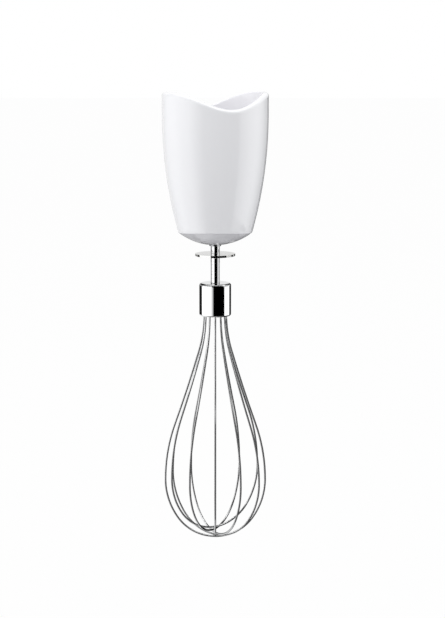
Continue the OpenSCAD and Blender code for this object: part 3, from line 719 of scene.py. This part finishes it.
class WHISK_OT_cup(bpy.types.Operator):
    """Build the white cup with its saddle-shaped lip, socket, latch pockets and screw bosses"""
    bl_idname = "whisk.cup"
    bl_label = "Cup"

    def execute(self, context):
        cup = context.scene.whisk_cup
        piece = cup_shell(cup)
        hole, depth, lap = 0.00102, 0.0158, 0.0005
        under = cup.shelf - cup.shelf_thickness
        at_screws(cup, piece, cup.boss_radius, under - cup.boss_depth, under + lap, "UNION")
        at_screws(cup, piece, hole, COVER_HIGH.z - depth, cup.shelf + 2 * lap, "DIFFERENCE")
        hand_over(piece, "outer_shell", "shell_plastic")
        return {"FINISHED"}


# ---- the bottom cap ----

def cap_outline(cup, cap, turn):
    """The cap's section at one angle: its edge follows the seam, and its dome is a ball's."""
    low = seam(cup, turn)
    edge = side(cup, low)
    rise = low - cap.dome_low
    flat_rise = cup.foot - cap.dome_low
    ball = (cup.foot_radius ** 2 + flat_rise ** 2) / (2 * flat_rise)

    def dome(r):
        share_out = r / edge * cup.foot_radius
        drop = (ball - math.sqrt(ball ** 2 - share_out ** 2)) / flat_rise
        return cap.dome_low + rise * drop

    def inner(r):
        return cap.dome_low + ball - math.sqrt((ball - cap.wall) ** 2 - r ** 2)

    ease, lip_seal, boss_wall, boss_height, edge_in = 0.0002, 0.0015, 0.002, 0.003, 0.00012
    spigot = side(cup, cup.foot, cup.wall) - FIT
    bore = spigot - cap.spigot_wall
    pocket = cap.dome_low + cap.wall + ease
    neck = pocket + lip_seal + ease
    boss, boss_top = cap.neck_bore + boss_wall, neck + boss_height
    seal = cup.foot + 0.6 * (cap.spigot_top - cup.foot)
    points = [(spigot, low), (edge - 2 * edge_in, low), (edge - edge_in / 2, low - edge_in)]
    points += [(r, dome(r)) for r in between(edge - edge_in, cap.hub_bore + EDGE, 30)[1:]]
    points += [(cap.hub_bore, dome(cap.hub_bore) + EDGE), (cap.hub_bore, pocket),
               (cap.seal_bore, pocket), (cap.seal_bore, neck), (cap.neck_bore, neck),
               (cap.neck_bore, boss_top - EDGE), (cap.neck_bore + EDGE, boss_top),
               (boss - EDGE, boss_top), (boss, boss_top - EDGE)]
    points += [(r, inner(r)) for r in between(boss, bore, 8)]
    points += [(bore, cap.spigot_top - EDGE), (bore + EDGE, cap.spigot_top),
               (spigot - SOFT_EDGE, cap.spigot_top), (spigot, cap.spigot_top - SOFT_EDGE)]
    points += [(spigot - cap.groove * math.sin(a), seal + cap.groove * math.cos(a))
               for a in between(0, math.pi, 10)]
    return points


class WHISK_OT_cap(bpy.types.Operator):
    """Build the domed bottom cap with its spigot, seal groove and bores"""
    bl_idname = "whisk.cap"
    bl_label = "Bottom cap"

    def execute(self, context):
        cup, cap = context.scene.whisk_cup, context.scene.whisk_cap
        piece = turned("bottom_cap_dome", lambda a: cap_outline(cup, cap, a), columns=160,
                       crease=30)
        hand_over(piece, "bottom_cap", "cap_plastic")
        return {"FINISHED"}


# ---- shaft, splash disc and ferrule ----

class WHISK_OT_shaft(bpy.types.Operator):
    """Build the polished shaft with its hexagon end and detent groove"""
    bl_idname = "whisk.shaft"
    bl_label = "Whisk shaft"

    def execute(self, context):
        sizes = context.scene.whisk
        r, low, high = sizes.shaft_radius, SHAFT_LOW.z, SHAFT_HIGH.z
        hexed = high - sizes.hex_length
        groove = hexed - sizes.groove_drop
        half, waist = sizes.groove_width / 2, r - sizes.groove_depth
        corners = [(0, low, 0), (r, low, 0.0004), (r, groove - half, 0.0001),
                   (waist, groove - half, 0.00015), (waist, groove + half, 0.00015),
                   (r, groove + half, 0.0001), (r, hexed, 0.0003), (0, hexed, 0)]
        piece = turned("shaft_round", rounded(corners), columns=72)
        corner = sizes.hex_flats / 2 / math.cos(math.pi / 6)
        cut, lap = 0.0005, 0.001
        outline = [(0, hexed - lap), (corner, hexed - lap), (corner, high - cut),
                   (corner - cut, high), (0, high)]
        combine(piece, turned("shaft_hexagon", outline, columns=6), "UNION")
        hand_over(piece, "whisk_shaft", "chrome_steel")
        return {"FINISHED"}


class WHISK_OT_splash_disc(bpy.types.Operator):
    """Build the thin splash disc and the collar under it"""
    bl_idname = "whisk.splash_disc"
    bl_label = "Splash disc"

    def execute(self, context):
        sizes = context.scene.whisk
        bore, rim = sizes.shaft_radius + FIT, DISC_HIGH.y
        low, high = DISC_LOW.z, DISC_HIGH.z
        under = high - sizes.disc_thickness
        collar = sizes.shaft_radius + sizes.disc_collar
        corners = [(bore, low, 0.0001), (collar, low, 0.0003), (collar, under, 0.0003),
                   (rim, under, 0.00004), (rim, high, 0.00004), (bore, high, 0.0001)]
        piece = turned("splash_guard", rounded(corners, steps=5), columns=128)
        hand_over(piece, "splash_disc", "disc_steel")
        return {"FINISHED"}


class WHISK_OT_ferrule(bpy.types.Operator):
    """Build the polished ferrule and the core that grips the wires in it"""
    bl_idname = "whisk.ferrule"
    bl_label = "Ferrule"

    def execute(self, context):
        sizes = context.scene.whisk
        r, low, high = FERRULE_HIGH.y, FERRULE_LOW.z, FERRULE_HIGH.z
        wall, chamfer, curve = sizes.ferrule_wall, sizes.ferrule_chamfer, sizes.ferrule_round
        bore = sizes.shaft_radius + FIT
        corners = [(r - wall, low, 0), (r - chamfer, low, 0.0003), (r, low + chamfer, 0.0008),
                   (r, high, curve), (bore, high, 0.0002), (bore, high - wall, 0.0001),
                   (r - wall, high - wall, curve - wall)]
        piece = turned("ferrule_sleeve", rounded(corners, steps=10), columns=128)
        hand_over(piece, "ferrule", "chrome_steel")
        finished_copy("ferrule_core", "ferrule_grip", "core_plastic", 0.00015)
        return {"FINISHED"}


# ---- wires and screws, by geometry nodes ----

def shape_group(name, inputs):
    """A group of geometry nodes that gives its result a finish."""
    return node_group("GeometryNodeTree", name, {"Geometry": "Geometry", **inputs,
                                                 "Finish": "Material"}, {"Geometry": "Geometry"})


def finish_tree(tree, given, shape):
    """Ends a group of geometry nodes: real meshes with their finish."""
    whole = add(tree, "GeometryNodeRealizeInstances", {"Geometry": shape})
    coated = add(tree, "GeometryNodeSetMaterial", {"Geometry": whole,
                                                   "Material": given["Finish"]})
    add(tree, "NodeGroupOutput", {"Geometry": coated})
    return tree


def wire_tree():
    """Sweeps a round wire along a path drawn as edges, and turns it about the axis."""
    tree, given = shape_group("wire along a path", {"Wire Diameter": 0.00115, "Sides": 16,
                                                    "Turn": 0.0})
    path = add(tree, "GeometryNodeMeshToCurve", {"Mesh": given["Geometry"]})
    section = add(tree, "GeometryNodeCurvePrimitiveCircle", {
        "Resolution": given["Sides"],
        "Radius": maths(tree, "MULTIPLY", given["Wire Diameter"], 0.5)})
    swept = add(tree, "GeometryNodeCurveToMesh", {"Curve": path, "Profile Curve": section,
                                                  "Fill Caps": True})
    turn = add(tree, "ShaderNodeCombineXYZ", {"Z": given["Turn"]})
    placed = add(tree, "GeometryNodeTransform", {"Geometry": swept, "Rotation": turn})
    shaded = add(tree, "GeometryNodeSetShadeSmooth", {"Geometry": placed})
    return finish_tree(tree, given, shaded)


def circle_tree():
    """Sets copies of one piece evenly round the axis."""
    tree, given = shape_group("copies on a circle", {
        "Count": 3, "Circle Radius": 0.02, "Turn": 0.0, "Height": 0.0})
    ring = add(tree, "GeometryNodeMeshCircle", {"Vertices": given["Count"],
                                                "Radius": given["Circle Radius"]})
    lift = add(tree, "ShaderNodeCombineXYZ", {"Z": given["Height"]})
    turn = add(tree, "ShaderNodeCombineXYZ", {"Z": given["Turn"]})
    placed = add(tree, "GeometryNodeTransform", {"Geometry": ring, "Translation": lift,
                                                 "Rotation": turn})
    copies = add(tree, "GeometryNodeInstanceOnPoints", {"Points": placed,
                                                        "Instance": given["Geometry"]})
    return finish_tree(tree, given, copies)


def run_tree(piece, tree, values, crease=CREASE):
    """Sets a tree's named inputs, then keeps its result as a plain mesh."""
    step = piece.modifiers.new(tree.name, "NODES")
    step.node_group = tree
    for item in tree.interface.items_tree:
        if item.in_out == "INPUT" and item.name in values:
            step[item.identifier] = values[item.name]
    baked(piece, crease)


def along_arcs(path, heading, arcs):
    """Carry a path of (radius, height) on along (radius, turn) arcs, from a given heading."""
    for radius, turn in arcs:
        r, z = path[-1]
        s = math.copysign(1, turn)
        hub_r, hub_z = r + s * radius * math.cos(heading), z + s * radius * math.sin(heading)
        steps = max(4, math.ceil(abs(turn) / math.radians(2.2)))
        for j in range(1, steps + 1):
            h = heading + turn * j / steps
            path.append((hub_r - s * radius * math.cos(h), hub_z - s * radius * math.sin(h)))
        heading += turn


def wire_half(sizes, top, bottom, k):
    """Half of loop k, counted inwards from 0, from the top of its leg down to the axis."""
    first, lean = sizes.lean_start + k * sizes.lean_gain, sizes.lean + k * sizes.lean_gain
    widest, b = LOOP_HIGH.x - sizes.wire / 2 - k * sizes.width_loss, sizes.side_turn
    # The second arc's radius brings the belly out to its widest.
    out = (widest - sizes.leg_radius - sizes.lean_radius * (1 - math.cos(first))
           - sizes.belly_radius * (1 - math.cos(lean))) / (math.cos(first) - math.cos(lean))
    path = [(sizes.leg_radius, top), (sizes.leg_radius, top - sizes.leg_length)]
    along_arcs(path, 0.0, [(sizes.lean_radius, first), (out, lean - first),
                           (sizes.belly_radius, -lean)])
    # The radii of the last two arcs bring the wire level to the axis at the bottom.
    drop = path[-1][1] - bottom
    down = (drop * math.cos(b) - widest * (1 - math.sin(b))) / (
        math.sin(b) * math.cos(b) - (1 - math.cos(b)) * (1 - math.sin(b)))
    close = (widest - down * (1 - math.cos(b))) / math.cos(b)
    along_arcs(path, 0.0, [(down, -b), (close, b - math.pi / 2)])
    path[-1] = (0.0, path[-1][1])
    return path


class WHISK_OT_wires(bpy.types.Operator):
    """Build the six wire loops of the balloon whisk"""
    bl_idname = "whisk.wires"
    bl_label = "Whisk wires"

    def execute(self, context):
        sizes = context.scene.whisk
        tree = wire_tree()
        for k in range(WIRE_LOOPS):
            name, node = f"whisk_wire_{k + 1}", f"wire_loop_{k + 1}"
            low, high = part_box(node)
            half = wire_half(sizes, high.z, low.z + sizes.wire / 2, k)
            path = half + [(-r, z) for r, z in reversed(half[:-1])]
            mesh = bpy.data.meshes.new(name)
            mesh.from_pydata([(r, 0, z) for r, z in path],
                             [(i, i + 1) for i in range(len(path) - 1)], [])
            piece = link(name, mesh)
            run_tree(piece, tree, {"Wire Diameter": sizes.wire, "Sides": sizes.wire_sides,
                                   "Turn": -k * math.pi / WIRE_LOOPS,
                                   "Finish": FINISHES["wire_steel"]}, crease=60)
            hand_over(piece, node, "wire_steel")
        return {"FINISHED"}


class WHISK_OT_screws(bpy.types.Operator):
    """Build the three cover screws with their hexagon sockets"""
    bl_idname = "whisk.screws"
    bl_label = "Cover screws"

    def execute(self, context):
        under, shank, thread, pitch = -0.0015, 0.012, 0.001, 0.0008
        root, end = thread - 0.00018, under - shank
        corners = [(0, end, 0), (thread - 0.0003, end, 0.0001)]
        for k in range(int((shank - 0.002) / pitch)):
            z = end + 0.0003 + k * pitch
            corners += [(root, z, 0.00004), (thread, z + pitch / 2, 0.00004)]
        corners += [(root, under - 0.0016, 0.0001), (thread, under - 0.0012, 0),
                    (thread, under, 0.0001), (SCREW_HEAD, under, 0.00012),
                    (SCREW_HEAD, 0, 0.0003), (0, 0, 0)]
        piece = turned("cover_screw_set", rounded(corners, steps=3), columns=40)
        key, floor, clear = 0.0011, -0.00075, 0.001
        outline = [(0, floor - 0.0001), (0.0008, floor), (key, floor), (key, clear), (0, clear)]
        combine(piece, turned("socket", outline, columns=6), "DIFFERENCE")
        run_tree(piece, circle_tree(), {
            "Count": SCREWS, "Circle Radius": context.scene.whisk_cup.screw_circle,
            "Turn": math.pi / SCREWS, "Height": SCREWS_HIGH.z,
            "Finish": FINISHES["plated_steel"]})
        hand_over(piece, "cover_screws", "plated_steel")
        return {"FINISHED"}


# ---- the gearbox ----

# CAD node, piece, slot and how far its edges are broken
GEARBOX = [
    ("gear_case", "gear_tub", "case_plastic", 0.00018),
    ("gear_cover", "gear_lid", "case_plastic", 0.00018),
    ("cover_gasket", "lid_gasket", "seal_rubber", 0.00006),
    ("cap_seal", "cap_ring_seal", "seal_rubber", 0.00003),
    ("output_seal", "hub_lip_seal", "seal_rubber", 0.00008),
    ("ring_gear", "annulus_gear", "gear_plastic", 0.00006),
    ("input_bush", "top_bush", "bush_bronze", 0.0001),
    ("output_bush_upper", "neck_bush_upper", "bush_bronze", 0.0001),
    ("output_bush_lower", "neck_bush_lower", "bush_bronze", 0.0001),
    ("drive_dog", "coupling_dog", "dog_plastic", 0.00018),
    ("input_spindle", "input_pin", "machined_steel", 0.0001),
    ("sun_gear", "sun_pinion", "machined_steel", 0.00004),
    ("spindle_clip", "pin_clip", "spring_steel", 0.00005),
    *((f"planet_gear_{k}", f"planet_wheel_{k}", "gear_plastic", 0.00005) for k in (1, 2, 3)),
    ("planet_carrier", "carrier_disc", "machined_steel", 0.00012),
    ("carrier_plate", "carrier_lid", "machined_steel", 0.0001),
    ("planet_pins", "planet_axles", "machined_steel", 0.00012),
    ("output_hub", "hub_sleeve", "machined_steel", 0.0001),
    ("shaft_clip", "detent_ring", "spring_steel", 0.00005),
    ("hub_circlip", "neck_circlip", "spring_steel", 0.00005),
    ("thrust_washer", "carrier_washer", "washer_plastic", 0.00006),
]


class WHISK_OT_gearbox(bpy.types.Operator):
    """Finish the gearbox's own pieces: broken edges, smooth rounds and their materials"""
    bl_idname = "whisk.gearbox"
    bl_label = "Gearbox"

    def execute(self, context):
        for row in GEARBOX:
            finished_copy(*row)
        return {"FINISHED"}


# ---- the stage ----

def seen_directly(tree):
    """1 for what the camera sees straight, in a reflection or through glass."""
    path = tree.nodes.new("ShaderNodeLightPath").outputs
    return maths(tree, "MAXIMUM", path["Is Camera Ray"],
                 maths(tree, "MAXIMUM", path["Is Glossy Ray"], path["Is Transmission Ray"]))


def lay_floor(stage):
    """A pale matt floor that looks white, but for a trace of the shade that falls on it."""
    reach, ground, whiteness = 12.0, LOOP_LOW.z - stage.drop, 0.97
    mesh = bpy.data.meshes.new("floor")
    mesh.from_pydata([(x * reach, y * reach, ground)
                      for x, y in ((-1, -1), (1, -1), (1, 1), (-1, 1))], [], [(0, 1, 2, 3)])
    floor = link("floor", mesh)
    paint = bpy.data.materials.new("pale floor")
    tree = fresh_tree(paint)
    matt = add(tree, "ShaderNodeBsdfDiffuse", {"Color": (*stage.floor, 1)})
    white = add(tree, "ShaderNodeEmission", {"Color": WHITE, "Strength": 1.0})
    shown = maths(tree, "MULTIPLY", seen_directly(tree), whiteness)
    whole = add(tree, "ShaderNodeMixShader", {0: shown, 1: matt, 2: white})
    add(tree, "ShaderNodeOutputMaterial", {"Surface": whole})
    mesh.materials.append(paint)
    floor.visible_glossy = False


def light_room(scene, stage):
    """Plain light from all round. What is seen of it is white, or a little darker if mirrored."""
    scene.world = bpy.data.worlds.new("room")
    tree = fresh_tree(scene.world)
    shown = mixed(tree, "FLOAT", seen_directly(tree), stage.room, 1.0)
    glossy = tree.nodes.new("ShaderNodeLightPath").outputs["Is Glossy Ray"]
    sky = add(tree, "ShaderNodeBackground", {
        "Color": WHITE, "Strength": mixed(tree, "FLOAT", glossy, shown, stage.shine)})
    add(tree, "ShaderNodeOutputWorld", {"Surface": sky})


def soft_box(name, turn, height, distance, width, tall, radiance, target):
    """A soft box at a compass turn from the camera's side, aimed at the object."""
    lamp = bpy.data.lights.new(name, "AREA")
    lamp.shape = "RECTANGLE"
    lamp.size, lamp.size_y = width, tall
    lamp.energy = radiance * math.pi * width * tall
    light = link(name, lamp)
    a, e = math.radians(turn), math.radians(height)
    back = Vector((math.sin(a) * math.cos(e), -math.cos(a) * math.cos(e), math.sin(e)))
    light.location = target + back * distance
    light.rotation_mode = "QUATERNION"
    light.rotation_quaternion = (-back).to_track_quat("-Z", "Y")


def card(name, stops, radius, low, high, slats=False):
    """A curved card, black or glowing, that only polished surfaces show. Slats in front of it
    glow on top and are black underneath, so that from below it looks black."""
    strips = [(radius, low, radius, high, 1.0)]
    if slats:
        deep, pitch, gap = 0.004, 0.002, 0.0001
        for i in range(int((high - low) / pitch)):
            z = high - pitch * i
            strips += [(radius, z, radius - deep, z, 1.0),
                       (radius, z - gap, radius - deep, z - gap, 0.0)]
    columns, width = [stops[0]], 3
    for (start, first), (end, last) in zip(stops, stops[1:]):
        steps = math.ceil((end - start) / width)
        columns += zip(between(start, end, steps)[1:], between(first, last, steps)[1:])
    points, faces, glows = [], [], []
    for r1, z1, r2, z2, lit in strips:
        near = len(points)
        for degrees, glow in columns:
            a = math.radians(degrees)
            points += [(r * math.sin(a), -r * math.cos(a), z) for r, z in ((r1, z1), (r2, z2))]
            glows += [glow * lit] * 2
        faces += [(i, i + 2, i + 3, i + 1) for i in range(near, len(points) - 2, 2)]
    mesh = bpy.data.meshes.new(name)
    mesh.from_pydata(points, [], faces)
    mesh.attributes.new("glow", "FLOAT", "POINT").data.foreach_set("value", glows)
    face = bpy.data.materials.new(name)
    tree = fresh_tree(face)
    stored = add(tree, "ShaderNodeAttribute", attribute_name="glow").outputs["Fac"]
    light = add(tree, "ShaderNodeEmission", {"Color": WHITE, "Strength": stored})
    add(tree, "ShaderNodeOutputMaterial", {"Surface": light})
    mesh.materials.append(face)
    screen = link(name, mesh)
    screen.visible_camera = screen.visible_diffuse = screen.visible_shadow = False
    screen.visible_transmission = screen.visible_volume_scatter = False


# What the polished surfaces show round each part. The cup, the disc, the shaft, the ferrule and
# the wires each see their own cards. A card has a name, its glow at each stop in degrees from the
# camera's side towards +X, a radius, its lowest and highest level, and True if it has slats.
BY_DISC = 0.025, -0.0705, -0.0662
BY_SHAFT = 0.035, -0.0877, -0.0600
BY_FERRULE = 0.035, -0.1075, -0.0877
CARDS = [
    ("cup front", ((-36, 0), (47, 0)), 0.105, -0.112, 0.030),
    ("cup right", ((47, 0.9), (70, 1.9), (90, 1.9)), 0.100, -0.088, 0.030),
    ("cup right side", ((90, 1.9), (125, 0)), 0.100, -0.088, 0.030, True),
    ("cup right edge", ((130, 0), (180, 0)), 0.100, -0.160, 0.030),
    ("cup left", ((-180, 0.9), (-125, 0.9), (-86, 2.2), (-50, 2.0), (-22, 0)), 0.100, -0.110,
     0.030, True),
    ("low right", ((80, 0), (180, 0)), 0.110, -0.60, -0.088),
    ("disc top", ((150, 0.8), (210, 0.8)), 0.026, -0.0655, -0.0600),
    ("disc front", ((-9, 0), (53, 0)), *BY_DISC),
    ("disc right mark", ((86, 0), (101, 0)), *BY_DISC),
    ("disc left mark", ((263, 0), (279, 0)), *BY_DISC),
    ("shaft front", ((-22, 0), (56, 0)), *BY_SHAFT),
    ("shaft left", ((-90, 1.25), (-22, 1.25)), *BY_SHAFT, True),
    ("shaft right", ((56, 0.66), (95, 0.66)), *BY_SHAFT),
    ("shaft right edge", ((95, 0.9), (125, 0.5)), 0.035, -0.0877, -0.0700, True),
    ("shaft left edge", ((210, 0.36), (270, 0.36)), *BY_SHAFT, True),
    ("ferrule face", ((150, 0.85), (210, 0.85)), 0.035, -0.0877, -0.0759),
    ("ferrule rim", ((150, 0), (210, 0)), 0.035, -0.0759, -0.0655),
    ("ferrule top", ((-13, 0), (46, 0)), 0.300, 0.0200, 0.5000),
    ("ferrule front", ((-10.5, 0), (62, 0)), *BY_FERRULE),
    ("ferrule right", ((62, 1.25), (110, 1.25)), *BY_FERRULE),
    ("ferrule edges", ((110, 0.015), (260, 0.015)), *BY_FERRULE),
    ("ferrule left", ((-100, 1.25), (-40, 1.25), (-24, 1.05), (-10.5, 0.15)), *BY_FERRULE),
    ("wire front", ((-70, 0.15), (80, 0.15)), 0.120, -0.60, -0.115),
]


def set_camera(scene, stage, target):
    """A camera level across the object that looks down on it a little."""
    lens = bpy.data.cameras.new("camera")
    lens.sensor_fit = "AUTO"
    lens.sensor_width = 24.0
    lens.lens = stage.lens
    lens.shift_x = stage.side_shift
    lens.clip_start, lens.clip_end = 0.01, 60
    camera = link("camera", lens)
    tilt = stage.camera_height
    camera.location = target + Vector((0, -math.cos(tilt), math.sin(tilt))) * stage.camera_distance
    camera.rotation_euler = (math.pi / 2 - tilt, 0, 0)
    scene.camera = camera


class WHISK_OT_stage(bpy.types.Operator):
    """Set the pale floor, soft boxes, dark cards, room light and camera"""
    bl_idname = "whisk.stage"
    bl_label = "Stage"

    def execute(self, context):
        scene, stage = context.scene, context.scene.whisk_stage
        target = Vector((0, 0, stage.aim))
        lay_floor(stage)
        light_room(scene, stage)
        # name, turn and height in degrees, distance, width, height, radiance
        soft_box("key", -76, 12, 1.3, 1.2, 1.7, stage.key, target)
        soft_box("fill", 92, 26, 1.2, 0.8, 1.0, stage.fill, target)
        soft_box("top", 0, 88, 1.1, 1.0, 1.0, stage.top, target)
        for values in CARDS:
            card(*values)
        set_camera(scene, stage, target)
        scene.view_settings.view_transform = "Standard"
        return {"FINISHED"}


# ---- the add-on ----

class WHISK_PT_panel(bpy.types.Panel):
    """Lists the whisk's pieces and sizes"""
    bl_idname = "WHISK_PT_panel"
    bl_label = "Whisk Attachment"
    bl_space_type = "VIEW_3D"
    bl_region_type = "UI"
    bl_category = "Whisk"

    def draw(self, context):
        layout = self.layout
        for kind in OPERATORS:
            layout.operator(kind.bl_idname)
        for name in SETTINGS:
            box = layout.box()
            box.label(text=name.replace("_", " ").capitalize())
            group = getattr(context.scene, name)
            for key in group.__annotations__:
                box.prop(group, key)


OPERATORS = (WHISK_OT_finishes, WHISK_OT_cup, WHISK_OT_cap, WHISK_OT_shaft, WHISK_OT_splash_disc,
             WHISK_OT_ferrule, WHISK_OT_wires, WHISK_OT_screws, WHISK_OT_gearbox, WHISK_OT_stage)
SETTINGS = {"whisk_cup": WhiskCupSizes, "whisk_cap": WhiskCapSizes, "whisk": WhiskSizes,
            "whisk_finishes": WhiskFinishes, "whisk_stage": WhiskStageSizes}
CLASSES = (*SETTINGS.values(), *OPERATORS, WHISK_PT_panel)


def register():
    for kind in CLASSES:
        bpy.utils.register_class(kind)
    for name, group in SETTINGS.items():
        setattr(bpy.types.Scene, name, PointerProperty(type=group))


def unregister():
    for name in SETTINGS:
        delattr(bpy.types.Scene, name)
    for kind in reversed(CLASSES):
        bpy.utils.unregister_class(kind)


def main():
    register()
    bpy.ops.whisk.finishes()
    bpy.ops.whisk.cup()
    bpy.ops.whisk.cap()
    bpy.ops.whisk.shaft()
    bpy.ops.whisk.splash_disc()
    bpy.ops.whisk.ferrule()
    bpy.ops.whisk.wires()
    bpy.ops.whisk.screws()
    bpy.ops.whisk.gearbox()
    bpy.ops.whisk.stage()


if __name__ == "__main__":
    main()
